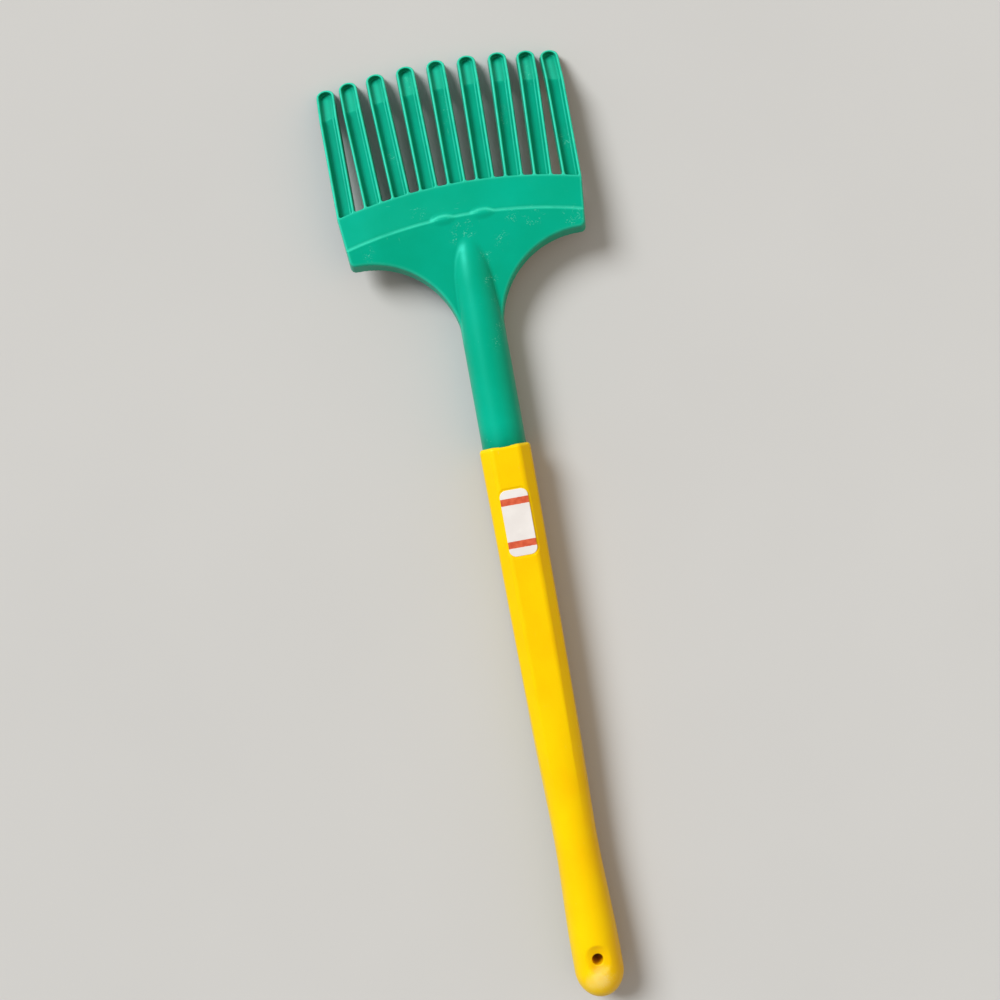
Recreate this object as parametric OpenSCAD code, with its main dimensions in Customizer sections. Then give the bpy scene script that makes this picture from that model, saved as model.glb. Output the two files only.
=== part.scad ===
// Toy sand rake: a moulded head with channel tines, plugged into a hollow handle
// that carries a film label and a hang hole. Millimetres.
// +Y runs along the handle towards the tines and +Z is up. The rake lies on the
// floor, z = 0, on its handle and its tine tips, with the origin under the middle
// of its length.

/* [Handle] */
// Length of the handle, from its mouth to its rounded end
handle_l = 327; // [310:1:360]
// Wall between the socket and the flats of the mouth
mouth_wall = 1.8; // [1.4:0.1:3]
// Wall of the hollow grip behind the socket
grip_wall = 2.2; // [1.6:0.1:3]
// Length over which the lip of the mouth is rounded
lip_l = 3; // [1:0.5:6]
// Depth of that rounding
lip_depth = 1.2; // [0.4:0.1:1.3]
// Width of the flat facet along the top of the grip, at the mouth
facet_w = 16.6; // [12:0.2:20]
// Distance from the mouth at which the facets start to fade
facets_from = 100; // [70:1:140]
// Distance from the rounded end at which the grip is fully round
facets_to = 82; // [65:1:125]
// Width that the grip loses by its steady taper from the mouth to the waist
taper_w = 3; // [0:0.2:4]
// Width of the waist
waist_w = 25.4; // [22:0.2:27]
// Distance from the rounded end to the waist
waist_at = 95; // [80:1:115]
// Length over which the grip dips to its waist
dip_l = 70; // [40:1:110]
// Width of the round knob
knob_w = 28.8; // [26:0.2:32]
// Distance from the rounded end to the knob's full width
knob_at = 27; // [22:1:45]
// Length of the knob's domed end
dome_l = 16.5; // [10:0.5:20]

/* [Hang hole] */
// Diameter of the hang hole
hole_d = 6.4; // [4:0.2:9]
// Distance from the rounded end to the hang hole
hole_at = 25; // [22:1:37]
// Diameter of the dimple that leads into the hole
dimple_d = 14; // [10:0.5:18]
// Depth of that dimple
dimple_depth = 2.5; // [1:0.1:4]

/* [Label] */
// Length of the film label
label_l = 38.5; // [30:0.5:45]
// Width of the film label
label_w = 16.4; // [12:0.2:17]
// Radius of the label's corners
label_r = 4; // [1:0.5:6]
// Thickness of the film
label_t = 0.2; // [0.1:0.05:0.3]
// Distance from the mouth to the middle of the label
label_at = 45; // [35:1:80]
// Depth of the recess that the label lies in
recess_depth = 0.35; // [0.3:0.05:0.6]
// Gap between the edge of the label and the recess
recess_gap = 0.4; // [0.2:0.1:1]

/* [Neck and spigot] */
// Outer diameter of the neck and of the spigot in the handle
neck_d = 26; // [22:0.5:30]
// Wall of the neck tube
neck_wall = 2.6; // [1.8:0.1:4]
// Radial clearance of the spigot in its socket
fit = 0.2; // [0.1:0.05:0.3]
// Length of the spigot inside the handle
spigot_l = 48; // [30:1:70]
// Height of the snap bead round the spigot
bead_h = 0.5; // [0.3:0.1:0.8]
// Length of the snap bead
bead_l = 4; // [3:0.5:6]
// Distance of the snap bead from the end of the spigot
bead_at = 8; // [6:1:14]
// Length of the bullet nose that sinks into the shoulder
nose_l = 40; // [25:1:55]

/* [Shoulder] */
// Distance from the mouth of the handle to the tip of the middle tine
head_l = 233; // [220:1:250]
// Length of the shoulder, from its back edge to the ridge
shoulder_l = 20.6; // [15:0.2:28]
// Width that each side loses from the tine roots back to the shoulder
side_taper = 3.5; // [0:0.5:6]
// Distance of a flare's centre inside the shoulder's side
flare_inset = 4.4; // [3:0.2:8]
// Radius of the shoulder's back corners
corner_r = 3; // [1:0.5:4]
// Height of the ridge above the axis of the neck
ridge_h = 11.3; // [9:0.1:13]
// Step down from the ridge to the band
ridge_step = 1.2; // [0.9:0.1:2]
// Rise of the shoulder towards the ridge, in degrees
shoulder_slope = 6; // [3:0.5:8]
// Radius of the rounded crest of the ridge
crest_r = 0.8; // [0.3:0.1:0.9]
// Distance between the two lumps on the ridge
lump_gap = 23.4; // [16:0.2:40]
// Length of a lump along the ridge
lump_l = 11; // [8:0.5:16]
// Radius of a lump at its middle
lump_r = 2.6; // [2:0.1:3.5]
// Thickness of the moulded skin over the cored underside
skin = 2.4; // [1.8:0.1:3]
// Thickness of the ribs under the shoulder
rib_t = 1.8; // [1.2:0.1:2.5]

/* [Tines] */
// Number of tines
tine_n = 9; // [5:2:9]
// Distance between neighbouring tines at their roots
tine_pitch = 16.7; // [15.5:0.1:19]
// Width of a tine
tine_w = 11.2; // [9.5:0.1:11.5]
// Thickness of a tine, from its rim to its underside
tine_t = 6; // [5:0.1:7]
// Depth of the channel along a tine
channel_depth = 4.2; // [3:0.1:4.5]
// Thickness of the rim round the channel
rim_t = 1.35; // [1:0.05:2]
// Length of the middle tine, from root to tip
tine_l = 77.3; // [60:0.5:85]
// Length of the bent tip of a tine, seen from above
tip_l = 19.7; // [12:0.1:25]
// Depth of the band between the ridge and the tine roots
band_l = 19.7; // [15:0.1:24]
// Radius of the arc on which the tips of the tines lie
arc_r = 378; // [320:1:450]
// Fall of the band and tines towards their tips, in degrees
tine_slope = 5; // [3:0.5:7]
// Lean of the most splayed tines, in degrees
tine_lean = 2.6; // [0:0.1:3]

/* [Hidden] */
$fn = 96;

// How far a cut runs past the face that it opens
overrun = 1;
// Lean of each tine from the middle one outwards
lean_shares = [0, 0.5, 1, 1, 0.15];
// How hard the facets of the grip meet: higher is sharper
facet_power = 40;
// Points round the grip, and the length between its sections
ring_n = 48;
section_step = 10;
// Sections along the lip and the domed end, as shares of each
lip_shares = [0, 0.08, 0.3, 0.6];
dome_turns = [12, 24, 36, 48, 60, 70, 78, 85];
// How far a flare bites into the side of the neck
flare_bite = 0.6;
// How far the outer tines stand proud of the band's sides
side_step = 0.15;
// Depth of a lump's axis below the ridge, and its distance behind it
lump_depth = 2;
lump_in = 0.6;
// Angle through which the head's profile is swept
head_sweep = 50;
// Turns from point to point along rounded stretches of a profile
crest_turn = 30;
nose_turn = 10;
lump_turns = 4;

mouth_w = neck_d + 2 * (fit + mouth_wall);
mouth_y = (handle_l - head_l) / 2;
axis_z = mouth_w / 2;
neck_r = neck_d / 2;
socket_r = neck_r + fit;
bore_r = neck_r - neck_wall;
hole_r = hole_d / 2;
round_d = handle_l - facets_to;
waist_d = handle_l - waist_at;
knob_d = handle_l - knob_at;
hang_d = handle_l - hole_at;
dome_d = handle_l - dome_l;
taper_turn = atan(taper_w / 2 / waist_d);

side_n = (tine_n - 1) / 2;
root_at = head_l - tine_l;
crease_at = head_l - tip_l;
ridge_at = root_at - band_l;
back_at = ridge_at - shoulder_l;
foot_at = root_at - skin / 2;
root_half = side_n * tine_pitch + tine_w / 2;
back_half = root_half - side_taper;
flare_x = back_half - flare_inset;
flare_r = flare_x - neck_r + flare_bite;
flare_at = back_at - flare_r;
nose_at = ridge_at - nose_l;
arc_at = head_l - arc_r;
root_r = root_at - arc_at;
side_at = arc_at + sqrt(pow(root_r, 2) - pow(root_half, 2));
tip_slope = atan((band_top(crease_at) - tine_t + axis_z) / tip_l);

// Width of the grip at a distance behind the mouth
function smooth(t) = t * t * (3 - 2 * t);
function within(t) = max(0, min(1, t));
function taper_at(d) = mouth_w - taper_w * d / waist_d;
function dip_at(d) = (mouth_w - taper_w - waist_w) * smooth(within(1 - (waist_d - d) / dip_l));
function grip_w(d) = d < waist_d
    ? taper_at(d) - dip_at(d)
    : waist_w + (knob_w - waist_w) * smooth(within((d - waist_d) / (knob_d - waist_d)));

// Half width of the outside of the handle, with its rounded lip and its domed end
function lip_loss(d) = lip_depth * (1 - sqrt(1 - pow(1 - within(d / lip_l), 2)));
function dome_share(d) = sqrt(1 - pow(within((d - dome_d) / dome_l), 2));
function outer_half(d) = (grip_w(d) / 2 - lip_loss(d)) * dome_share(d);

// Section of the grip: a rounded octagon at the mouth that fades to a circle
function facet_share(d) = 1 - smooth(within((d - facets_from) / (round_d - facets_from)));
function octagon_r(a, half, flat) =
    let (c = abs(cos(a)), s = abs(sin(a)), p = facet_power)
    half / pow(pow(c, p) + pow(s, p) + pow((c + s) * half / (half + flat), p), 1 / p);
function section_r(a, d) =
    let (half = outer_half(d), f = facet_share(d), flat = half * facet_w / mouth_w)
    f * octagon_r(a, half, flat) + (1 - f) * half;
function section(d) = [for (i = [0:ring_n - 1])
    let (a = 360 * i / ring_n, r = section_r(a, d))
    [r * cos(a), -d, r * sin(a)]];
section_n = floor((dome_d - lip_l) / section_step);
sections = concat(
    [for (t = lip_shares) t * lip_l],
    [for (i = [0:section_n - 1]) lip_l + i * section_step],
    [dome_d],
    [for (a = dome_turns) dome_d + dome_l * sin(a)]);

// Heights of the head's top above the axis, at a distance in front of the mouth
function shoulder_top(s) = ridge_h - (ridge_at - s) * tan(shoulder_slope);
function band_top(s) = ridge_h - ridge_step - (s - ridge_at) * tan(tine_slope);
function tip_top(s) = band_top(crease_at) - (s - crease_at) * tan(tip_slope);

// Places of the tines: root on the root arc, lean, and length out to the tip arc
function root_x(i) = i * tine_pitch;
function root_y(i) = sqrt(pow(root_r, 2) - pow(root_x(i), 2));
function lean(i) = sign(i) * tine_lean * lean_shares[abs(i)];
function reach(i) =
    let (along = root_x(i) * sin(lean(i)) + root_y(i) * cos(lean(i)))
    sqrt(pow(along, 2) - pow(root_r, 2) + pow(arc_r, 2)) - along;

module on_axis() {
    translate([0, mouth_y, axis_z])
        children();
}

// Skins a row of closed sections into one solid
module loft(rings) {
    n = len(rings[0]);
    last = len(rings) - 1;
    sides = [for (k = [0:last - 1], i = [0:n - 1])
        let (a = k * n + i, b = k * n + (i + 1) % n)
        each [[a, b + n, b], [a, a + n, b + n]]];
    caps = [[for (i = [0:n - 1]) i], [for (i = [0:n - 1]) last * n + n - 1 - i]];
    polyhedron([for (ring = rings) each ring], concat(sides, caps));
}

// Revolves a profile of [radius, distance] points about the axis, out in front of the mouth
module turn_forward(points) {
    rotate([-90, 0, 0])
        rotate_extrude()
            polygon(points);
}

module turn_backward(points) {
    rotate([90, 0, 0])
        rotate_extrude()
            polygon(points);
}

// Sweeps a profile of [distance, height] points round the head's arc centre
module sweep_head(points) {
    translate([0, arc_at, 0])
        rotate([0, 0, 90 - head_sweep / 2])
            rotate_extrude(angle = head_sweep)
                polygon([for (p = points) [p.x - arc_at, p.y]]);
}

module rounded_label(l, w, r) {
    square([w, l - 2 * r], center = true);
    square([w - 2 * r, l], center = true);
    for (x = [-1, 1], y = [-1, 1])
        translate([x * (w / 2 - r), y * (l / 2 - r)])
            circle(r = r);
}

// Puts a flat shape on the top facet, sunk below it by a depth
module on_top_facet(depth) {
    translate([0, -label_at, taper_at(label_at) / 2])
        rotate([taper_turn, 0, 0])
            translate([0, 0, -depth])
                children();
}

// Plan of the band and shoulder, drawn in from its outline by an inset
module plate_plan(inset) {
    root_x = root_half - side_step - inset;
    back_x = back_half - inset;
    difference() {
        intersection() {
            polygon([
                [-back_x, flare_at], [back_x, flare_at], [back_x, back_at], [root_x, side_at],
                [root_x, root_at], [-root_x, root_at], [-root_x, side_at], [-back_x, back_at]]);
            translate([0, arc_at])
                circle(r = root_r - inset);
            rounded_back(back_x, back_at + inset);
        }
        for (side = [-1, 1])
            translate([side * flare_x, flare_at])
                circle(r = flare_r + inset);
    }
}

// Everything but the tips of the shoulder's two back corners
module rounded_back(half, at) {
    in = half - corner_r;
    translate([-in, flare_at])
        square([2 * in, head_l]);
    translate([-root_half, at + corner_r])
        square([2 * root_half, head_l]);
    for (side = [-1, 1])
        translate([side * in, at + corner_r])
            circle(r = corner_r);
}

// Plan of every tine, drawn in by an inset, from a start before or at its root
module tine_plan(inset, start) {
    for (i = [-side_n:side_n])
        translate([root_x(i), arc_at + root_y(i)])
            rotate(-lean(i)) {
                end = reach(i) - tine_w / 2;
                translate([inset - tine_w / 2, start])
                    square([tine_w - 2 * inset, end - start]);
                translate([0, end])
                    circle(d = tine_w - 2 * inset);
            }
}

// Band, shoulder and tines as one plate: its plan, cut to the swept side profile
module plate() {
    crest = [for (a = [0:crest_turn:90])
        [ridge_at - crest_r * (1 - sin(a)), ridge_h - crest_r * (1 - cos(a))]];
    end = head_l + overrun;
    intersection() {
        translate([0, 0, -axis_z - overrun])
            linear_extrude(mouth_w)
                union() {
                    plate_plan(0);
                    tine_plan(0, -tine_w / 4);
                }
        sweep_head(concat(
            [[flare_at - overrun, 0], [flare_at - overrun, shoulder_top(flare_at - overrun)]],
            crest,
            [[ridge_at, band_top(ridge_at)], [crease_at, band_top(crease_at)],
             [end, tip_top(end)], [end, tip_top(end) - tine_t],
             [crease_at, band_top(crease_at) - tine_t], [foot_at, band_top(foot_at) - tine_t],
             [ridge_at, 0]]));
    }
}

// Channels along the tops of the tines
module channels() {
    end = head_l + overrun;
    top = ridge_h + overrun;
    intersection() {
        translate([0, 0, -axis_z])
            linear_extrude(mouth_w)
                difference() {
                    tine_plan(rim_t, -tine_w / 2);
                    translate([0, arc_at])
                        circle(r = root_r);
                }
        sweep_head([
            [root_at - overrun, top], [root_at - overrun, band_top(root_at - overrun) - channel_depth],
            [crease_at, band_top(crease_at) - channel_depth], [end, tip_top(end) - channel_depth],
            [end, top]]);
    }
}

// Hollow under the shoulder and band, left between ribs
module core() {
    front = root_at - skin;
    difference() {
        intersection() {
            translate([0, 0, -axis_z])
                linear_extrude(mouth_w)
                    plate_plan(skin);
            sweep_head([
                [flare_at, -overrun], [flare_at, shoulder_top(flare_at) - skin],
                [ridge_at - skin, shoulder_top(ridge_at - skin) - skin],
                [ridge_at - skin, band_top(ridge_at) - skin],
                [front, band_top(front) - skin], [front, -overrun]]);
        }
        for (i = [1 - side_n:2:side_n - 1])
            translate([root_x(i) - rib_t / 2, flare_at, -axis_z])
                cube([rib_t, head_l, mouth_w]);
        neck_solid();
    }
}

// Neck, spigot with its snap bead, and the bullet nose in the shoulder
module neck_solid() {
    bead_y = bead_at - spigot_l;
    nose = [for (a = [0:nose_turn:90]) [neck_r * cos(a), nose_at + nose_l * sin(a)]];
    turn_forward(concat(
        [[0, -spigot_l], [neck_r - bead_h, -spigot_l], [neck_r, bead_h - spigot_l],
         [neck_r, bead_y - bead_l / 2], [neck_r + bead_h, bead_y], [neck_r, bead_y + bead_l / 2]],
        nose));
}

module neck_bore() {
    turn_forward([
        [0, -spigot_l - overrun], [bore_r, -spigot_l - overrun], [bore_r, nose_at], [0, nose_at + bore_r / 2]]);
}

// Two spindles along the ridge, each a circular arc turned about its own chord
module ridge_lumps() {
    ridge_r = ridge_at - arc_at;
    arc = (pow(lump_l / 2, 2) + pow(lump_r, 2)) / (2 * lump_r);
    half_turn = asin(lump_l / 2 / arc);
    spindle = [for (i = [-lump_turns:lump_turns])
        let (a = half_turn * i / lump_turns)
        [max(0, arc * cos(a) - arc + lump_r), arc * sin(a)]];
    for (side = [-1, 1])
        translate([0, arc_at, ridge_h - lump_depth])
            rotate(-side * asin(lump_gap / 2 / ridge_r))
                translate([0, ridge_r - lump_in, 0])
                    rotate([0, 90, 0])
                        rotate_extrude()
                            polygon(spindle);
}

module rake_head() {
    color("mediumseagreen")
        on_axis()
            difference() {
                union() {
                    plate();
                    neck_solid();
                    ridge_lumps();
                }
                channels();
                core();
                neck_bore();
            }
}

// Socket for the spigot and the hollow of the grip behind it
module handle_cavity() {
    groove_at = spigot_l - bead_at;
    end = dome_l - grip_wall;
    hollow = [for (d = sections) if (d > spigot_l && d < dome_d) [grip_w(d) / 2 - grip_wall, d]];
    dome = [for (a = concat([0], dome_turns, [90]))
        [(knob_w / 2 - grip_wall) * cos(a), dome_d + end * sin(a)]];
    turn_backward(concat(
        [[0, -overrun], [socket_r + mouth_wall - lip_depth, -overrun],
         [socket_r + mouth_wall - lip_depth, 0], [socket_r, lip_l / 2],
         [socket_r, groove_at - bead_l / 2], [socket_r + bead_h, groove_at], [socket_r, groove_at + bead_l / 2],
         [socket_r, spigot_l], [grip_w(spigot_l) / 2 - grip_wall, spigot_l]],
        hollow,
        dome));
}

// Hang hole through the knob, with a dimple on both sides
module hang_hole() {
    half = grip_w(hang_d) / 2;
    translate([0, -hang_d, 0]) {
        cylinder(d = hole_d, h = mouth_w, center = true);
        for (turn = [0, 180])
            rotate([turn, 0, 0])
                translate([0, 0, half - dimple_depth])
                    cylinder(d1 = hole_d, d2 = dimple_d, h = dimple_depth);
    }
}

module handle() {
    color("gold")
        on_axis()
            difference() {
                loft([for (d = sections) section(d)]);
                difference() {
                    handle_cavity();
                    translate([0, -hang_d, 0])
                        cylinder(r = hole_r + grip_wall, h = mouth_w, center = true);
                }
                hang_hole();
                on_top_facet(recess_depth)
                    linear_extrude(recess_depth + overrun)
                        rounded_label(label_l + 2 * recess_gap, label_w + 2 * recess_gap, label_r + recess_gap);
            }
}

module label() {
    color("antiquewhite")
        on_axis()
            on_top_facet(recess_depth)
                linear_extrude(label_t)
                    rounded_label(label_l, label_w, label_r);
}

rake_head();
handle();
label();
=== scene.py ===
"""Toy sand rake: a green moulded head plugged into a yellow handle that carries a film label.

Both mouldings are written as signed distances, with their draft and fillets, and skinned into meshes.
"""
import math

import bpy
import numpy as np
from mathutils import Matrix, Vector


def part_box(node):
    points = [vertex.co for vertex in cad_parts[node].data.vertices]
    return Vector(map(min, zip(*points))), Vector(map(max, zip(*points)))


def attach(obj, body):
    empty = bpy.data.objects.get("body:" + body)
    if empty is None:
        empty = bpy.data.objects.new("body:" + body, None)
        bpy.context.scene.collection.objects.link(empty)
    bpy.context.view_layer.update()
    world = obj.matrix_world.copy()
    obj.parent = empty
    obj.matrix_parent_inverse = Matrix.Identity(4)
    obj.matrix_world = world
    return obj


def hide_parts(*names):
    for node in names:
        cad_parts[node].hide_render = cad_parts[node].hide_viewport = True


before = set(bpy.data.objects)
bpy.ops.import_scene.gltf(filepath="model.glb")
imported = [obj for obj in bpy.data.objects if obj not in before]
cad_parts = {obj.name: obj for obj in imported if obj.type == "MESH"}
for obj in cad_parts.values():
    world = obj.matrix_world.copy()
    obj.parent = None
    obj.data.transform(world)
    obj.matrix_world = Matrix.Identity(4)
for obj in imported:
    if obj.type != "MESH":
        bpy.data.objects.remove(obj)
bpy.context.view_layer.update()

# Millimetres: x across, s ahead of the handle's mouth, z above the axis of the neck
MM = 0.001
handle_low, handle_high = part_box("handle")
MOUTH_Y = handle_high.y / MM
AXIS_Z = (handle_low.z + handle_high.z) / 2 / MM

# Handle
HANDLE_L = 327
MOUTH_W = 30
LIP_R = 2.2
SOCKET_R = 13.2
SOCKET_L = 49
SOCKET_FLARE = 0.8
SOCKET_FLARE_L = 5
SOCKET_EDGE_R = 0.6
FACET_W = 16.6
FACET_R = 1.2
FACETS_FROM = 100
FACETS_TO = 245
TAPER_W = 3
WAIST_W = 25.4
WAIST_AT = 232
DIP_L = 70
KNOB_W = 28.8
KNOB_AT = 300
DOME_L = 16.5
DOME_AT = HANDLE_L - DOME_L
HOLE_R = 3.2
HOLE_AT = 302
HOLE_EDGE_R = 0.7
DISH_R = 7.4
DISH_DEPTH = 2.4
DISH_EDGE_R = 1.6

# Label and its recess
LABEL_L = 38.5
LABEL_W = 16.4
LABEL_R = 4
LABEL_T = 0.2
LABEL_AT = 45
LABEL_BEVEL = 0.08
LABEL_CORNER_STEPS = 8
INK_FROM = 10.5
INK_TO = 14.5
INK_EDGE = 0.2
INK_FUZZ = 0.3
RECESS_DEPTH = 0.35
RECESS_GAP = 0.4
RECESS_RAMP = 1.1

# Neck and spigot
NECK_R = 13
SPIGOT_L = 48
SPIGOT_EDGE_R = 1
BEAD_H = 0.15
BEAD_L = 4
BEAD_AT = -40
NOSE_L = 40
NECK_FILLET = 1
FILLET_RUN = 25

# Shoulder, ridge and band
HEAD_L = 233
SHOULDER_L = 20.6
BAND_L = 19.7
SIDE_TAPER = 3.5
FLARE_INSET = 4.4
FLARE_BITE = 0.6
CORNER_R = 3
SHOULDER_EDGE_R = 1.2
RIDGE_H = 11.3
RIDGE_STEP = 1.2
RIDGE_BACK = 3
STEP_R = 0.8
CREST_R = 0.8
LUMP_X = 11.7
LUMP_RADII = (6.4, 2.6, 2.6)
LUMP_BACK = 0.4
LUMP_DEPTH = 2.4
LUMP_FILLET = 2
SKIN = 2.4
RIB_T = 1.8
RIB_FILLET = 0.6
CORE_R = 1.2
CORE_EDGE_R = 0.5
UNDER_R = 0.9
SHOULDER_RISE = math.tan(math.radians(6))
WALL_DRAFT = math.tan(math.radians(13))

# Tines
TINE_N = 9
TINE_START = 1.2
TINE_SPAN = 11.8
TINE_PITCH = 16.7
TINE_T = 6
TINE_L = 77.3
TIP_L = 19.7
RIM_HALF = 5.3
RIM_T = 1.3
RIM_R = 0.45
CHANNEL_DEPTH = 4.2
CHANNEL_R = 1.1
ARC_R = 378
TINE_LEAN = math.radians(2.6)
LEAN_SHARES = (0, 0.5, 1, 1, 0.15)
GAP_R = 1.3
TINE_DRAFT = math.tan(math.radians(6))
CHANNEL_DRAFT = math.tan(math.radians(9))
TINE_FALL = math.tan(math.radians(5))

# Places that follow from those sizes
SIDE_N = TINE_N // 2
OUTER_X = SIDE_N * TINE_PITCH
ROOT_AT = HEAD_L - TINE_L
CREASE_AT = HEAD_L - TIP_L
RIDGE_AT = ROOT_AT - BAND_L
BACK_AT = RIDGE_AT - SHOULDER_L
FOOT_AT = ROOT_AT - SKIN / 2
NOSE_AT = RIDGE_AT - NOSE_L
ARC_AT = HEAD_L - ARC_R
ROOT_R = ROOT_AT - ARC_AT
SIDE_HALF = OUTER_X + RIM_HALF
FLARE_X = SIDE_HALF - SIDE_TAPER - FLARE_INSET
FLARE_R = FLARE_X - NECK_R + FLARE_BITE
FLARE_AT = BACK_AT - FLARE_R
SIDE_AT = ARC_AT + math.sqrt(ROOT_R ** 2 - SIDE_HALF ** 2)
BAND_H = RIDGE_H - RIDGE_STEP
CREASE_H = BAND_H - (CREASE_AT - RIDGE_AT) * TINE_FALL
FLARE_H = RIDGE_H - (RIDGE_AT - FLARE_AT) * SHOULDER_RISE
ROOT_H = BAND_H - (ROOT_AT - RIDGE_AT) * TINE_FALL
FOOT_H = BAND_H - (FOOT_AT - RIDGE_AT) * TINE_FALL - TINE_T
TIP_FALL = (CREASE_H - TINE_T + AXIS_Z) / TIP_L
TIP_COS = 1 / math.hypot(1, TIP_FALL)

# Skinning: cells along a block of the grid, how far off a block still counts as near the surface, and how
# many blocks are worked out at a time
BLOCK = 8
FAR_SHARE = 2
GROUP = 1000
# How far from a point its slope is probed, how far out it is probed for the painted shade of its hollows,
# and how it is moved onto the surface
NEAR = 0.04
SHADE_PROBE = 4
NUDGE = 0.3
NUDGES = 3
TINY = 1e-6

# Rubbed edges with painted highlight, painted highlight alone and painted shade: how far each kind
# reaches in millimetres, and its strength
RIDGE_WEAR_AND_HIGHLIGHT_L = 1.1
RIDGE_WEAR_AND_HIGHLIGHT = 0.95
RIDGE_WEAR_AND_HIGHLIGHT_AHEAD = 0.2
LUMP_WEAR_AND_HIGHLIGHT_L = 0.6
BORDER_WEAR_AND_HIGHLIGHT_L = 1.3
BORDER_WEAR_AND_HIGHLIGHT = 0.45
TOP_WEAR_AND_HIGHLIGHT_L = 1.2
RIM_WEAR_AND_HIGHLIGHT_L = 0.9
RIM_WEAR_AND_HIGHLIGHT = 0.7
TIP_HIGHLIGHT_L = 0.6
TIP_HIGHLIGHT = 0.22
LIP_WEAR_AND_HIGHLIGHT_L = 2
LIP_WEAR_AND_HIGHLIGHT = 0.8
CHANNEL_SHADE = 0.3
CHANNEL_MARGIN = 0.5
NECK_SHADE_L = 14
NECK_SHADE = 0.8
HOLE_SHADE = 0.3
# Share of its reach over which each kind of rubbing, scuff, painted highlight or painted shade is full
THIN_HOLD = 0.1
EDGE_HOLD = 0.2
SCUFF_HOLD = 0.3
HOLE_HOLD = 0.5
TOP_HOLD = 0.6


def fade(t):
    """Smooth step from 0 to 1."""
    t = np.clip(t, 0, 1)
    return t * t * (3 - 2 * t)


def fading_mask(distance, reach, hold):
    """A mask that is full over a share of its reach and then fades out: for rubbed edges, scuffs, painted
    highlight and painted shade.
    """
    return fade(1 + hold - distance / reach)


def length(*parts):
    return np.sqrt(sum(part * part for part in parts))


def keep(a, b, r):
    """What lies in both shapes, with the edge between them rounded."""
    return np.minimum(-r, np.maximum(a, b)) + length(np.maximum(r + a, 0), np.maximum(r + b, 0))


def join(a, b, r):
    """Both shapes as one, with a fillet between them."""
    return -keep(-a, -b, r)


def cut(a, b, r):
    """The first shape less the second, with the edge between them rounded."""
    return keep(a, -b, r)


def ellipsoid(offsets, radii):
    """Distance to an ellipsoid, close to true near its surface."""
    k = length(*[o / r for o, r in zip(offsets, radii)])
    return k * (k - 1) / np.maximum(length(*[o / r ** 2 for o, r in zip(offsets, radii)]), TINY)


def bullet(radius, ahead, r, nose):
    """A round bar of radius r whose end is drawn out to a nose, ahead of where the nose starts."""
    return ellipsoid((np.maximum(radius, NEAR), np.maximum(ahead, 0)), (r, nose))


def tine_places():
    """Root, lean and length of each tine: roots lie on one arc and tips on another."""
    places = []
    for i in range(-SIDE_N, SIDE_N + 1):
        x = i * TINE_PITCH
        y = math.sqrt(ROOT_R ** 2 - x ** 2)
        lean = math.copysign(TINE_LEAN * LEAN_SHARES[abs(i)], i)
        along = x * math.sin(lean) + y * math.cos(lean)
        reach = math.sqrt(along ** 2 - ROOT_R ** 2 + ARC_R ** 2) - along
        places.append((x, ARC_AT + y, lean, reach))
    return places


TINES = tine_places()


def nearest_tine(x, s):
    """Distance off the centre line of the nearest tine, and distance past its tip."""
    best = past = None
    for tine_x, tine_s, lean, reach in TINES:
        across = np.abs((x - tine_x) * math.cos(lean) - (s - tine_s) * math.sin(lean))
        beyond = (x - tine_x) * math.sin(lean) + (s - tine_s) * math.cos(lean) - reach
        past = beyond if past is None else np.where(across < best, beyond, past)
        best = across if best is None else np.minimum(across, best)
    return best, past


def tine_plan(across, past, half):
    """Plan of a tine of some half width, whose end is a half circle in the plane of the bent tip."""
    over = np.maximum(past + RIM_HALF * TIP_COS, 0) / TIP_COS
    return length(across, over) - half


def plate_walls(x, s, z, q, band):
    """Walls round the shoulder and band: sides, back corners, flares and the front between the tines."""
    taper = SIDE_TAPER * (SIDE_AT - s) / (SIDE_AT - BACK_AT)
    side = np.abs(x) - SIDE_HALF + taper - (band - z) * TINE_DRAFT
    flare = FLARE_R - length(np.abs(x) - FLARE_X, s - FLARE_AT)
    back = np.where(np.abs(x) > FLARE_X, BACK_AT - s, flare) + z * WALL_DRAFT
    back = np.maximum(back, FLARE_AT - s)
    return np.maximum(keep(side, back, CORNER_R), q - ROOT_AT)


def head_heights(q):
    """Heights of the shoulder, of the band with the tines, and of the bent tips."""
    shoulder = RIDGE_H - (RIDGE_AT - q) * SHOULDER_RISE
    band = BAND_H - (q - RIDGE_AT) * TINE_FALL
    tip = CREASE_H - (q - CREASE_AT) * TIP_FALL
    return shoulder, band, tip


def head_top(z, q, shoulder, band, tip):
    """Shoulder up to its ridge, then the band and tines, with the bent tips."""
    behind = keep(z - shoulder, q - RIDGE_AT, CREST_R)
    ahead = np.maximum(z - band, (z - tip) * TIP_COS)
    ahead = np.maximum(ahead, RIDGE_AT - RIDGE_BACK - q)
    return join(behind, ahead, STEP_R)


def head_core(walls, x, z, shoulder, band, neck):
    """Hollow under the shoulder and band, left between ribs and round the neck."""
    core = keep(walls + SKIN, z - np.minimum(shoulder, band) + SKIN, CORE_R)
    for i in range(1, SIDE_N, 2):
        rib = np.abs(np.abs(x) - i * TINE_PITCH) - RIB_T / 2
        core = cut(core, rib, RIB_FILLET)
    return cut(core, neck, RIB_FILLET)


def neck_bar(x, s, z):
    """Neck with its nose ahead, and its spigot and bead behind."""
    bead = BEAD_H * fade(1 - np.abs(s - BEAD_AT) / (BEAD_L / 2))
    bar = bullet(length(x, z), s - NOSE_AT, NECK_R, NOSE_L) - bead
    return keep(bar, -SPIGOT_L - s, SPIGOT_EDGE_R)


def underside(q):
    """Height of the underside of the head."""
    return np.interp(q, (RIDGE_AT, FOOT_AT, CREASE_AT, HEAD_L), (0, FOOT_H, CREASE_H - TINE_T, -AXIS_Z))


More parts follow.
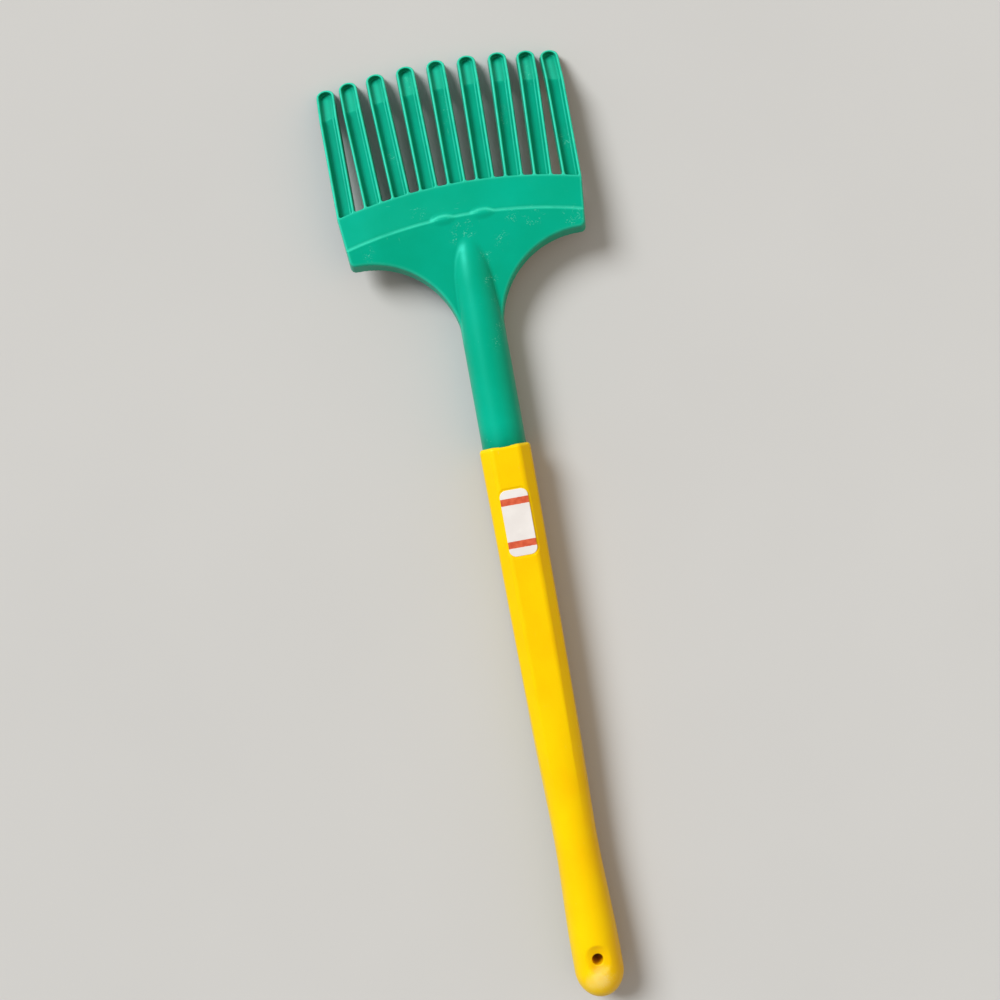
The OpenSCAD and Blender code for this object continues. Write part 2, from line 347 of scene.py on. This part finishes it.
def rake_head(x, s, z):
    """The head, where q is how far ahead a place lies once it is swung round the arc to the middle."""
    q = ARC_AT + length(x, s - ARC_AT)
    shoulder, band, tip = head_heights(q)
    rim = np.minimum(band, tip)

    across, past = nearest_tine(x, s)
    tine = tine_plan(across, past, RIM_HALF + (rim - z) * TINE_DRAFT)
    tine = np.maximum(tine, ROOT_AT - TINE_START - q)
    plate = plate_walls(x, s, z, q, band)
    walls = join(plate, tine, GAP_R * fade((OUTER_X - np.abs(x)) / RIM_HALF))
    edge_r = RIM_R + (SHOULDER_EDGE_R - RIM_R) * fade((RIDGE_AT - q) / SHOULDER_EDGE_R)
    solid = keep(walls, head_top(z, q, shoulder, band, tip), edge_r)
    solid = keep(solid, (underside(q) - z) * np.where(q > CREASE_AT, TIP_COS, 1), UNDER_R)

    ridge = ARC_AT + math.sqrt((RIDGE_AT - ARC_AT) ** 2 - LUMP_X ** 2)
    lump = (np.abs(x) - LUMP_X, s - ridge + LUMP_BACK, z - RIDGE_H + LUMP_DEPTH)
    solid = join(solid, ellipsoid(lump, LUMP_RADII), LUMP_FILLET)

    channel = tine_plan(across, past, RIM_HALF - RIM_T - (rim - z) * CHANNEL_DRAFT)
    channel = keep(channel, rim - CHANNEL_DEPTH - z, CHANNEL_R)
    channel = keep(channel, ROOT_AT - q, CHANNEL_R)
    solid = cut(solid, channel, RIM_R)

    neck = neck_bar(x, s, z)
    solid = cut(solid, head_core(plate, x, z, shoulder, band, neck), CORE_EDGE_R)
    return join(solid, neck, NECK_FILLET * fade((s - FLARE_AT) / FILLET_RUN))


def grip_w(d):
    """Width of the handle at a distance behind its mouth."""
    taper = MOUTH_W - TAPER_W * d / WAIST_AT
    dip = (MOUTH_W - TAPER_W - WAIST_W) * fade(1 - (WAIST_AT - d) / DIP_L)
    knob = WAIST_W + (KNOB_W - WAIST_W) * fade((d - WAIST_AT) / (KNOB_AT - WAIST_AT))
    return np.where(d < WAIST_AT, taper - dip, knob)


def rounded_label(x, d, grow):
    """Plan of the label, grown by a margin."""
    side = np.abs(x) - LABEL_W / 2 + LABEL_R
    end = np.abs(d - LABEL_AT) - LABEL_L / 2 + LABEL_R
    corner = length(np.maximum(side, 0), np.maximum(end, 0)) + np.minimum(np.maximum(side, end), 0)
    return corner - LABEL_R - grow


def handle(x, s, z):
    """The handle, where d is the distance behind its mouth."""
    d = -s
    radius = length(x, z)
    half = grip_w(np.clip(d, 0, DOME_AT)) / 2
    flat = half * FACET_W / MOUTH_W
    corner = (np.abs(x) + np.abs(z) - half - flat) * math.sqrt(0.5)
    octagon = keep(np.maximum(np.abs(x), np.abs(z)) - half, corner, FACET_R)
    facets = 1 - fade((d - FACETS_FROM) / (FACETS_TO - FACETS_FROM))
    solid = facets * octagon + (1 - facets) * bullet(radius, d - DOME_AT, half, DOME_L)

    recess = fade(-rounded_label(x, d, RECESS_GAP + RECESS_RAMP) / RECESS_RAMP)
    solid = solid + RECESS_DEPTH * recess * (z > 0)
    solid = keep(solid, -d, LIP_R)

    flare = SOCKET_FLARE * fade(1 - d / SOCKET_FLARE_L)
    socket = np.maximum(radius - SOCKET_R - flare, d - SOCKET_L)
    solid = cut(solid, socket, SOCKET_EDGE_R)

    dish = (x, d - HOLE_AT, np.abs(z) - KNOB_W / 2)
    solid = cut(solid, ellipsoid(dish, (DISH_R, DISH_R, DISH_DEPTH)), DISH_EDGE_R)
    return cut(solid, length(x, d - HOLE_AT) - HOLE_R, HOLE_EDGE_R)


def spaced(*spans):
    """Grid lines along one direction, from spans of (start, stop, step), filled up to whole blocks."""
    lines = np.concatenate([np.arange(*span) for span in spans])
    spare = (1 - len(lines)) % BLOCK
    return np.append(lines, lines[-1] + spans[-1][2] * np.arange(1, spare + 1))


def cross(axes):
    return np.stack(np.meshgrid(*axes, indexing="ij"), -1).reshape(-1, 3)


def along_head(u, q, w):
    """A place on the head from lines that follow its tines, its arc and its top."""
    radius = q - ARC_AT
    x = u * (1 - SIDE_TAPER / SIDE_HALF * np.clip((ROOT_AT - q) / (SIDE_AT - BACK_AT), 0, 1))
    held = np.clip(u, -OUTER_X, OUTER_X)
    for tine_x, tine_s, lean, _ in TINES:
        along = tine_x * math.sin(lean) + (tine_s - ARC_AT) * math.cos(lean)
        out = np.sqrt(along ** 2 - ROOT_R ** 2 + np.maximum(radius, ROOT_R) ** 2) - along
        share = np.clip(0.5 + (TINE_PITCH / 2 - np.abs(held - tine_x)) / (TINE_PITCH - TINE_SPAN), 0, 1)
        x = x + share * out * math.sin(lean)
    s = ARC_AT + np.sqrt(radius ** 2 - x ** 2)
    top = np.interp(q, (FLARE_AT, RIDGE_AT, ROOT_AT, CREASE_AT, HEAD_L),
                    (FLARE_H, RIDGE_H, ROOT_H, CREASE_H, TINE_T - AXIS_Z))
    under = underside(q)
    between = top + (top - under) * np.clip(w, -TINE_T, 0) / TINE_T
    return x, s, between + np.maximum(w, 0) + np.minimum(w + TINE_T, 0)


def along_handle(u, s, w):
    """A place on the handle from squares round its axis, each drawn in to a circle."""
    share = np.maximum(np.abs(u), np.abs(w)) / np.maximum(length(u, w), NEAR)
    return u * share, s, w * share


def sampled(shape, axes):
    """Distances on a grid, worked out only in the blocks of cells that lie near the surface."""
    lows = [lines[:-1:BLOCK] for lines in axes]
    highs = [lines[BLOCK::BLOCK] for lines in axes]
    blocks = [len(low) for low in lows]
    rough = shape(*cross([(low + high) / 2 for low, high in zip(lows, highs)]).T)
    reach = np.linalg.norm(cross([(high - low) / 2 for low, high in zip(lows, highs)]), axis=1)
    values = rough.reshape(blocks)
    for axis in range(3):
        values = values.repeat(BLOCK, axis)
    values = np.pad(values, ((0, 1),) * 3, mode="edge")
    inner = cross([np.arange(BLOCK + 1)] * 3)
    near = cross([np.arange(n) for n in blocks])[np.abs(rough) < FAR_SHARE * reach]
    for group in np.array_split(near, max(1, len(near) // GROUP)):
        index = tuple((group[:, None, :] * BLOCK + inner[None]).reshape(-1, 3).T)
        values[index] = shape(*[lines[i] for lines, i in zip(axes, index)])
    return values


def surface_net(values, axes):
    """Quads through the cells where the distances change sign, with one point in each such cell."""
    inside = values < 0
    corners = [(i, j, k) for i in (0, 1) for j in (0, 1) for k in (0, 1)]
    shape = np.array(values.shape) - 1
    count = np.zeros(shape, np.int8)
    for i, j, k in corners:
        count += inside[i:i + shape[0], j:j + shape[1], k:k + shape[2]]
    cells = np.argwhere((count > 0) & (count < len(corners)))
    number = np.full(shape, -1)
    number[tuple(cells.T)] = np.arange(len(cells))

    total = np.zeros((len(cells), 3))
    hits = np.zeros(len(cells))
    for start in corners:
        for axis in range(3):
            if start[axis] == 0:
                step = np.eye(3, dtype=int)[axis]
                a = values[tuple((cells + start).T)]
                b = values[tuple((cells + start + step).T)]
                crossed = (a < 0) != (b < 0)
                share = np.where(crossed, a / np.where(crossed, a - b, 1), 0)
                total += crossed[:, None] * (np.array(start) + share[:, None] * step)
                hits += crossed
    place = cells + total / hits[:, None]
    points = np.stack([np.interp(p, np.arange(len(lines)), lines) for p, lines in zip(place.T, axes)], 1)

    quads = []
    for axis in range(3):
        b, c = (axis + 1) % 3, (axis + 2) % 3
        first = np.take(inside, range(shape[axis]), axis)
        second = np.take(inside, range(1, shape[axis] + 1), axis)
        edges = np.argwhere(first != second)
        ring = []
        for step_b, step_c in ((-1, -1), (0, -1), (0, 0), (-1, 0)):
            cell = edges.copy()
            cell[:, b] += step_b
            cell[:, c] += step_c
            ring.append(number[tuple(cell.T)])
        quad = np.stack(ring, 1)
        leaving = first[tuple(edges.T)]
        quads.append(np.where(leaving[:, None], quad, quad[:, ::-1]))
    return points, np.concatenate(quads)


def slope(shape, points):
    """Distance at each point and the direction in which it grows, from four probes round the point."""
    probes = np.array([(1, -1, -1), (-1, -1, 1), (-1, 1, -1), (1, 1, 1)])
    found = [shape(*(points + NEAR * probe).T) for probe in probes]
    direction = sum(f[:, None] * probe for f, probe in zip(found, probes))
    direction /= np.maximum(np.linalg.norm(direction, axis=1), TINY)[:, None]
    return sum(found) / len(found), direction


def onto_surface(shape, points, turns):
    for _ in range(turns):
        distance, normal = slope(shape, points)
        points = points - np.clip(distance, -NUDGE, NUDGE)[:, None] * normal
    return points


def to_frame(points):
    return (points + (0, MOUTH_Y, AXIS_Z)) * MM


def add_object(name, data):
    made = bpy.data.objects.new(name, data)
    bpy.context.collection.objects.link(made)
    return made


def set_attribute(mesh, name, values):
    layer = mesh.attributes.new(name, "FLOAT", "POINT")
    layer.data.foreach_set("value", values.astype(np.float32))


def mould(name, shape, place, axes, edge_and_shade, scuffs):
    """Skins a shape into an object, with its edges lightened by rubbing and painted highlight, its
    painted shade in hollows and its scuffs kept on its points.
    """
    points, quads = surface_net(sampled(lambda *grid: shape(*place(*grid)), axes), axes)
    points = onto_surface(shape, np.stack(place(*points.T), 1), NUDGES)
    normal = slope(shape, points)[1]
    mesh = bpy.data.meshes.new(name)
    mesh.from_pydata(to_frame(points), [], quads)
    mesh.polygons.foreach_set("use_smooth", np.ones(len(mesh.polygons), bool))
    mesh.normals_split_custom_set_from_vertices(normal)
    edge, hollow = edge_and_shade(*points.T)
    outer = shape(*(points + SHADE_PROBE * normal).T)
    set_attribute(mesh, "edge", edge)
    # Painted shade: darker the deeper a point lies in a recess, found by probing out along its normal,
    # joined to the painted shade given for the piece
    set_attribute(mesh, "hollow", np.maximum(hollow, np.clip(1 - outer / SHADE_PROBE, 0, 1)))
    scuffed = np.zeros(len(points))
    for x, s, radius, share in scuffs:
        away = length(points[:, 0] - x, points[:, 1] - s)
        scuffed = np.maximum(scuffed, share * fading_mask(away, radius, SCUFF_HOLD))
    set_attribute(mesh, "scuff", scuffed * fade(normal[:, 2] * 2))
    return add_object(name, mesh)


def label_film():
    """Thin film with rounded corners, on the floor of its recess."""
    outline = []
    for turn, (side_x, side_d) in enumerate(((1, 1), (-1, 1), (-1, -1), (1, -1))):
        for step in range(LABEL_CORNER_STEPS + 1):
            angle = math.radians(90) * (turn + step / LABEL_CORNER_STEPS)
            outline.append((side_x * (LABEL_W / 2 - LABEL_R) + LABEL_R * math.cos(angle),
                            side_d * (LABEL_L / 2 - LABEL_R) + LABEL_R * math.sin(angle)))
    fall = TAPER_W / 2 / WAIST_AT
    base = MOUTH_W / 2 - LABEL_AT * fall - RECESS_DEPTH
    inset = 1 - 2 * LABEL_BEVEL / LABEL_W
    rings = ((1, 0), (1, LABEL_T - LABEL_BEVEL), (inset, LABEL_T))
    points = [(x * share, y * share - LABEL_AT, base + height + y * share * fall)
              for share, height in rings for x, y in outline]
    n = len(outline)
    faces = [tuple(range(n))[::-1], tuple(range(2 * n, 3 * n))]
    for ring in range(2):
        for i in range(n):
            a, b = ring * n + i, ring * n + (i + 1) % n
            faces.append((a, b, b + n, a + n))
    mesh = bpy.data.meshes.new("label_film")
    mesh.from_pydata(to_frame(np.array(points)), [], faces)
    return add_object("label_film", mesh)


# Materials. Noise is given as its scale, its detail and the span over which it rises
CLOUDS = (28, 3, (0.3, 0.7))
EDGE_PATCHES = (140, 3, (0.25, 0.6))
# Noise that breaks up the painted shade in recesses
SHADE_PATCHES = (70, 4, (0.4, 0.7))
SPECK_PATCHES = (260, 3, (0.46, 0.62))
SCRATCH_PATCHES = (35, 1, (0.5, 0.65))
HAZE = (120, 4, (0.35, 0.65))
SHEEN = (60, 4, (0.3, 0.7))
PAPER = (90, 3, (0.35, 0.7))
INK = (400, 3, (0.35, 0.65))
FILM_SHEEN = (220, 3, (0.3, 0.7))
# Streaks are given as detail, stretch, turn and the span over which they rise
SPECKS = (4, (900, 2100, 900), 0.4, (0.56, 0.66))
SCRATCHES = (3, (150, 900, 400), 0.9, (0.7, 0.76))
CROSS_SCRATCHES = (3, (1000, 130, 400), 0.25, (0.7, 0.76))
# Scales and shares of the fine relief, then the least and most that noise leaves of each mark
GRAIN_SCALE = 1700
GRAIN_SHARE = 0.25
RIPPLE_SCALE = 75
MARK_DEPTH = 0.3
MARK_ROUGH = 0.25
EDGE_LEAST = 0.6
# Least and most of the painted shade that noise leaves
SHADE_SHARES = (0.6, 0.95)
SPECK_SHARE = 0.8
SHEEN_LESS = 0.05
SHEEN_MORE = 0.06
FILM_ROUGH = (0.3, 0.42)
SPECULAR = 0.42


def srgb(red, green, blue):
    """Linear colour of a colour given in 0 to 255."""
    def linear(c):
        c /= 255
        return c / 12.92 if c <= 0.04045 else ((c + 0.055) / 1.055) ** 2.4
    return (linear(red), linear(green), linear(blue), 1)


class Shader:
    """A material's nodes, added one at a time with their inputs."""

    def __init__(self, name):
        self.material = bpy.data.materials.new(name)
        self.material.use_nodes = True
        self.tree = self.material.node_tree
        self.surface = self.tree.nodes["Principled BSDF"]

    def put(self, node, socket, value):
        if isinstance(value, bpy.types.NodeSocket):
            self.tree.links.new(value, node.inputs[socket])
        else:
            node.inputs[socket].default_value = value

    def add(self, kind, inputs, output=0, **settings):
        node = self.tree.nodes.new("ShaderNode" + kind)
        for key, value in settings.items():
            setattr(node, key, value)
        for socket, value in inputs.items():
            self.put(node, socket, value)
        return node.outputs[output]

    def place(self):
        return self.add("TexCoord", {}, "Object")

    def attribute(self, name):
        return self.add("Attribute", {}, "Fac", attribute_name=name)

    def noise(self, scale, detail=2, vector=None):
        vector = vector or self.place()
        return self.add("TexNoise", {"Vector": vector, "Scale": scale, "Detail": detail}, "Fac")

    def between(self, value, low, high, to_low=0, to_high=1):
        inputs = {"Value": value, "From Min": low, "From Max": high, "To Min": to_low, "To Max": to_high}
        return self.add("MapRange", inputs, interpolation_type="SMOOTHSTEP")

    def patches(self, scale, detail, span, to=(0, 1)):
        """Noise that rises over a span of its values, from one given level to another."""
        return self.between(self.noise(scale, detail), *span, *to)

    def streaks(self, detail, stretch, turn, span):
        """Noise drawn out along one direction, rising over a span of its values."""
        inputs = {"Vector": self.place(), "Rotation": (0, 0, turn), "Scale": stretch}
        return self.between(self.noise(1, detail, self.add("Mapping", inputs)), *span)

    def math(self, operation, a, b):
        return self.add("Math", {0: a, 1: b}, operation=operation)

    def times(self, a, b):
        return self.math("MULTIPLY", a, b)

    def mix(self, factor, a, b):
        return self.add("Mix", {"Factor": factor, 6: a, 7: b}, 2, data_type="RGBA")


def moulded_plastic(name, look):
    """Moulded plastic with a faint cloudiness, edges lightened by rubbing and painted highlight, scuffs,
    scratches and painted shade in its hollows.
    """
    m = Shader(name)
    colour = m.mix(m.patches(*CLOUDS), look["deep"], look["base"])

    # Edges lighter: partly rubbed plastic, partly painted highlight; on the tip floors painted highlight
    # only
    edge = m.patches(*EDGE_PATCHES, to=(EDGE_LEAST * look["edge_wear_and_highlight"], look["edge_wear_and_highlight"]))
    colour = m.mix(m.times(m.attribute("edge"), edge), colour, look["edge"])

    # Painted shade in recesses, the channels, the hang hole and on the neck at the mouth, broken up by
    # noise
    hollow = m.times(m.attribute("hollow"), m.patches(*SHADE_PATCHES, to=SHADE_SHARES))
    colour = m.mix(hollow, colour, look["hollow"])

    speck = m.times(m.streaks(*SPECKS), m.patches(*SPECK_PATCHES))
    scuff = m.times(speck, m.times(m.attribute("scuff"), SPECK_SHARE))
    scratch = m.math("MAXIMUM", m.streaks(*SCRATCHES), m.streaks(*CROSS_SCRATCHES))
    scratch = m.times(scratch, m.patches(*SCRATCH_PATCHES, to=(0, look["scratches"])))
    haze = m.times(m.attribute("scuff"), m.patches(*HAZE, to=(0, look["haze"])))
    marked = m.math("MAXIMUM", m.math("MAXIMUM", scuff, scratch), haze)
    colour = m.mix(marked, colour, look["scuff"])

    m.put(m.surface, "Base Color", colour)
    m.put(m.surface, "Specular IOR Level", SPECULAR)
    m.put(m.surface, "Specular Tint", look["gloss"])
    m.put(m.surface, "Subsurface Weight", look["milk"])
    m.put(m.surface, "Subsurface Radius", look["glow"])
    m.put(m.surface, "Subsurface Scale", look["depth"])
    rough = m.patches(*SHEEN, to=(look["rough"] - SHEEN_LESS, look["rough"] + SHEEN_MORE))
    m.put(m.surface, "Roughness", m.math("ADD", rough, m.times(marked, MARK_ROUGH)))
    ripple = m.math("ADD", m.times(m.noise(GRAIN_SCALE), GRAIN_SHARE), m.noise(RIPPLE_SCALE))
    height = m.math("SUBTRACT", ripple, m.times(marked, MARK_DEPTH))
    m.put(m.surface, "Normal", m.add("Bump", {"Height": height, "Strength": 0.35, "Distance": 0.2 * MM}))
    return m.material


def label_print():
    """Plain printed film: a warm white ground with a coloured band across each end."""
    m = Shader("label_film")
    place = m.add("SeparateXYZ", {0: m.place()}, "Y")
    middle = (MOUTH_Y - LABEL_AT) * MM
    out = m.math("ABSOLUTE", m.math("SUBTRACT", place, middle), 0)
    out = m.math("ADD", out, m.times(m.noise(700), INK_FUZZ * MM))
    starts = m.between(out, INK_FROM * MM, (INK_FROM + INK_EDGE) * MM)
    stops = m.between(out, INK_TO * MM, (INK_TO + INK_EDGE) * MM, 1, 0)
    ground = m.mix(m.patches(*PAPER), srgb(233, 230, 227), srgb(241, 239, 236))
    ink = m.mix(m.patches(*INK), srgb(205, 80, 46), srgb(222, 100, 62))
    m.put(m.surface, "Base Color", m.mix(m.times(starts, stops), ground, ink))
    m.put(m.surface, "Roughness", m.patches(*FILM_SHEEN, to=FILM_ROUGH))
    bump = m.add("Bump", {"Height": m.noise(500), "Strength": 0.2, "Distance": 0.1 * MM})
    m.put(m.surface, "Normal", bump)
    return m.material


def seen_rays(tree):
    """One on the rays that bring a background to the eye, straight, mirrored or through glass."""
    ray = tree.nodes.new("ShaderNodeLightPath")
    seen = ray.outputs["Is Camera Ray"]
    for kind in ("Is Glossy Ray", "Is Transmission Ray"):
        either = tree.nodes.new("ShaderNodeMath")
        either.operation = "MAXIMUM"
        tree.links.new(seen, either.inputs[0])
        tree.links.new(ray.outputs[kind], either.inputs[1])
        seen = either.outputs[0]
    return seen


def floor_paint():
    """Pale to the eye, but throwing back little light on the part."""
    m = Shader("floor_paint")
    pale = m.mix(m.noise(6, 3), srgb(200, 202, 201), srgb(206, 208, 207))
    m.put(m.surface, "Base Color", m.mix(seen_rays(m.tree), srgb(105, 98, 90), pale))
    m.put(m.surface, "Roughness", 0.85)
    return m.material


# Pieces. Scuffs are given as x, s, radius and strength
HEAD_SCUFFS = (
    (0, 128, 6, 1), (-6, 125, 5, 0.6), (9, 110, 4, 0.7), (9.5, 96, 4, 0.9), (10, 82, 4, 1),
    (10.5, 68, 4, 0.8), (6, 60, 5, 0.5), (40, 128, 7, 0.7), (28, 131, 5, 0.7), (63, 124, 6, 1),
    (-26, 142, 5, 0.7), (-58, 124, 5, 0.5), (20, 118, 5, 0.5), (-66, 228, 6, 0.6), (0, 200, 9, 0.4),
    (33, 190, 8, 0.5), (66, 170, 7, 0.8), (-33, 180, 8, 0.4), (50, 215, 7, 0.5), (-17, 222, 6, 0.5),
)
HANDLE_SCUFFS = ((0, -313, 7, 1), (5, -312, 5, 0.8), (-5, -315, 5, 0.6))
# Grid lines, closest where the form is finest
GRID_HALF = 4.6 * TINE_PITCH
LINES_PER_TINE = 26
HEAD_GRID = (
    spaced((-GRID_HALF, GRID_HALF, TINE_PITCH / LINES_PER_TINE)),
    spaced((-51, 58, 3), (58, 126, 0.9), (126, 160, 0.7), (160, 209, 4), (209, 236, 0.65)),
    spaced((-21.2, -6.8, 0.9), (-6.8, 1.6, 0.6), (1.6, 11.5, 0.9)),
)
HANDLE_GRID = (
    spaced((-18, 18, 0.65)),
    spaced((-330, -285, 0.7), (-285, -70, 3), (-70, -20, 0.8), (-20, -5, 2), (-5, 2, 0.5)),
    spaced((-18, 18, 0.65)),
)

# Looks of the two plastics: colours, among them a painted shade, gloss, milkiness, and edge rubbing with
# painted highlight
GREEN = {
    "base": srgb(0, 176, 143), "deep": srgb(0, 168, 133), "edge": srgb(70, 232, 196),
    "hollow": srgb(0, 122, 92), "scuff": srgb(140, 244, 216), "gloss": (0.12, 1, 0.85, 1),
    "glow": (0.1, 1, 0.7), "milk": 0.1, "depth": 2 * MM,
    "rough": 0.36, "edge_wear_and_highlight": 0.85, "scratches": 0.2, "haze": 0,
}
YELLOW = {
    "base": srgb(255, 213, 0), "deep": srgb(253, 204, 0), "edge": srgb(255, 226, 50),
    "hollow": srgb(214, 128, 0), "scuff": srgb(252, 238, 190), "gloss": (1, 0.85, 0.15, 1),
    "glow": (1, 0.6, 0.05), "milk": 0.2, "depth": 2 * MM,
    "rough": 0.38, "edge_wear_and_highlight": 0.25, "scratches": 0.12, "haze": 0.28,
}


def head_wear_and_painted_light(x, s, z):
    """Lighter ridge, lumps, plate edges and rims from rubbing and painted highlight, painted highlight on
    the tip floors, and painted shade in the channels and on the neck at the mouth.
    """
    q = ARC_AT + length(x, s - ARC_AT)
    shoulder, band, tip = head_heights(q)
    below = np.minimum(band, tip) - z
    # Lighter ridge, lumps, plate edges and rims: rubbing and painted highlight
    lump = fading_mask(np.abs(np.abs(x) - LUMP_X), LUMP_RADII[0], EDGE_HOLD)
    off_ridge = np.abs(q - RIDGE_AT - RIDGE_WEAR_AND_HIGHLIGHT_AHEAD - lump)
    ridge = fading_mask(off_ridge, RIDGE_WEAR_AND_HIGHLIGHT_L + LUMP_WEAR_AND_HIGHLIGHT_L * lump, THIN_HOLD)
    border = fading_mask(np.abs(plate_walls(x, s, z, q, band)), BORDER_WEAR_AND_HIGHLIGHT_L, EDGE_HOLD)
    on_top = fading_mask(np.abs(z - np.where(q < RIDGE_AT, shoulder, band)), TOP_WEAR_AND_HIGHLIGHT_L, TOP_HOLD)
    rim = fading_mask(below, RIM_WEAR_AND_HIGHLIGHT_L, THIN_HOLD) * (q > ROOT_AT)
    edge = np.maximum(on_top * np.maximum(RIDGE_WEAR_AND_HIGHLIGHT * ridge, BORDER_WEAR_AND_HIGHLIGHT * border), RIM_WEAR_AND_HIGHLIGHT * rim)

    inside = tine_plan(*nearest_tine(x, s), RIM_HALF - RIM_T / 2) < 0
    inside = inside & (below < CHANNEL_DEPTH + CHANNEL_MARGIN)
    in_tip = fade((q - CREASE_AT) / TIP_HIGHLIGHT_L + 0.5)
    # Painted highlight: the floors of the bent tips made lighter
    edge = np.maximum(edge, TIP_HIGHLIGHT * in_tip * inside)
    # Painted shade: channel floors darker with depth, and the neck darker towards the handle's mouth
    channel = CHANNEL_SHADE * fade(below / CHANNEL_DEPTH) * inside * (q > ROOT_AT - CHANNEL_MARGIN)
    return edge, np.maximum(channel * (1 - in_tip), NECK_SHADE * fading_mask(s, NECK_SHADE_L, 0))


def handle_wear_and_painted_light(x, s, z):
    """Lighter lip of the mouth from rubbing and painted highlight, and painted shade in the hang hole."""
    # Lip lighter: rubbing and painted highlight
    lip = fading_mask(-s, LIP_WEAR_AND_HIGHLIGHT_L, EDGE_HOLD) * (length(x, z) > SOCKET_R + SOCKET_FLARE)
    # Painted shade inside the hang hole
    hole = fading_mask(length(x, s + HOLE_AT), HOLE_R, HOLE_HOLD) * (np.abs(z) < KNOB_W / 2)
    return LIP_WEAR_AND_HIGHLIGHT * lip, HOLE_SHADE * hole


head = mould("head", rake_head, along_head, HEAD_GRID, head_wear_and_painted_light, HEAD_SCUFFS)
head.data.materials.append(moulded_plastic("green_plastic", GREEN))
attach(head, "root")
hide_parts("rake_head")

grip = mould("grip", handle, along_handle, HANDLE_GRID, handle_wear_and_painted_light, HANDLE_SCUFFS)
grip.data.materials.append(moulded_plastic("yellow_plastic", YELLOW))
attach(grip, "root")
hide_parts("handle")

film = label_film()
film.data.materials.append(label_print())
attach(film, "root")
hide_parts("label")

# Stage, light and camera
FLOOR_HALF = 3
floor_mesh = bpy.data.meshes.new("floor")
floor_corners = [(-FLOOR_HALF, -FLOOR_HALF, 0), (FLOOR_HALF, -FLOOR_HALF, 0),
                 (FLOOR_HALF, FLOOR_HALF, 0), (-FLOOR_HALF, FLOOR_HALF, 0)]
floor_mesh.from_pydata(floor_corners, [], [(0, 1, 2, 3)])
floor = add_object("floor", floor_mesh)
floor.data.materials.append(floor_paint())


def soft_sun(name, place, spread, strength, colour):
    """Soft light from the direction of a place, the same over the whole floor."""
    sun = bpy.data.lights.new(name, "SUN")
    sun.angle = math.radians(spread)
    sun.energy = strength
    sun.color = colour
    holder = add_object(name, sun)
    x, y, z = place
    holder.location = place
    holder.rotation_euler = (math.atan2(math.hypot(x, y), z), 0, math.atan2(y, x) + math.pi / 2)


soft_sun("key", place=(-0.95, 0.9, 1.2), spread=28, strength=2.95, colour=(1, 1, 1))
soft_sun("fill", place=(1.2, -0.5, 0.9), spread=70, strength=0.6, colour=(1, 0.5, 0.1))

world = bpy.data.worlds.new("studio")
world.use_nodes = True
nodes, links = world.node_tree.nodes, world.node_tree.links
light = nodes["Background"]
light.inputs["Color"].default_value = (0.95, 0.98, 1, 1)
light.inputs["Strength"].default_value = 0.33
backdrop = nodes.new("ShaderNodeBackground")
backdrop.inputs["Color"].default_value = srgb(213, 211, 206)
choice = nodes.new("ShaderNodeMixShader")
links.new(seen_rays(world.node_tree), choice.inputs[0])
links.new(light.outputs[0], choice.inputs[1])
links.new(backdrop.outputs[0], choice.inputs[2])
links.new(choice.outputs[0], nodes["World Output"].inputs["Surface"])
bpy.context.scene.world = world

camera = bpy.data.cameras.new("camera")
camera.lens = 54
camera.sensor_width = 36
viewer = add_object("camera", camera)
viewer.location = (-0.0082, 0.0166, 0.895)
viewer.rotation_euler = (0, 0, math.radians(-10.3))
bpy.context.scene.camera = viewer
bpy.context.scene.view_settings.view_transform = "Standard"
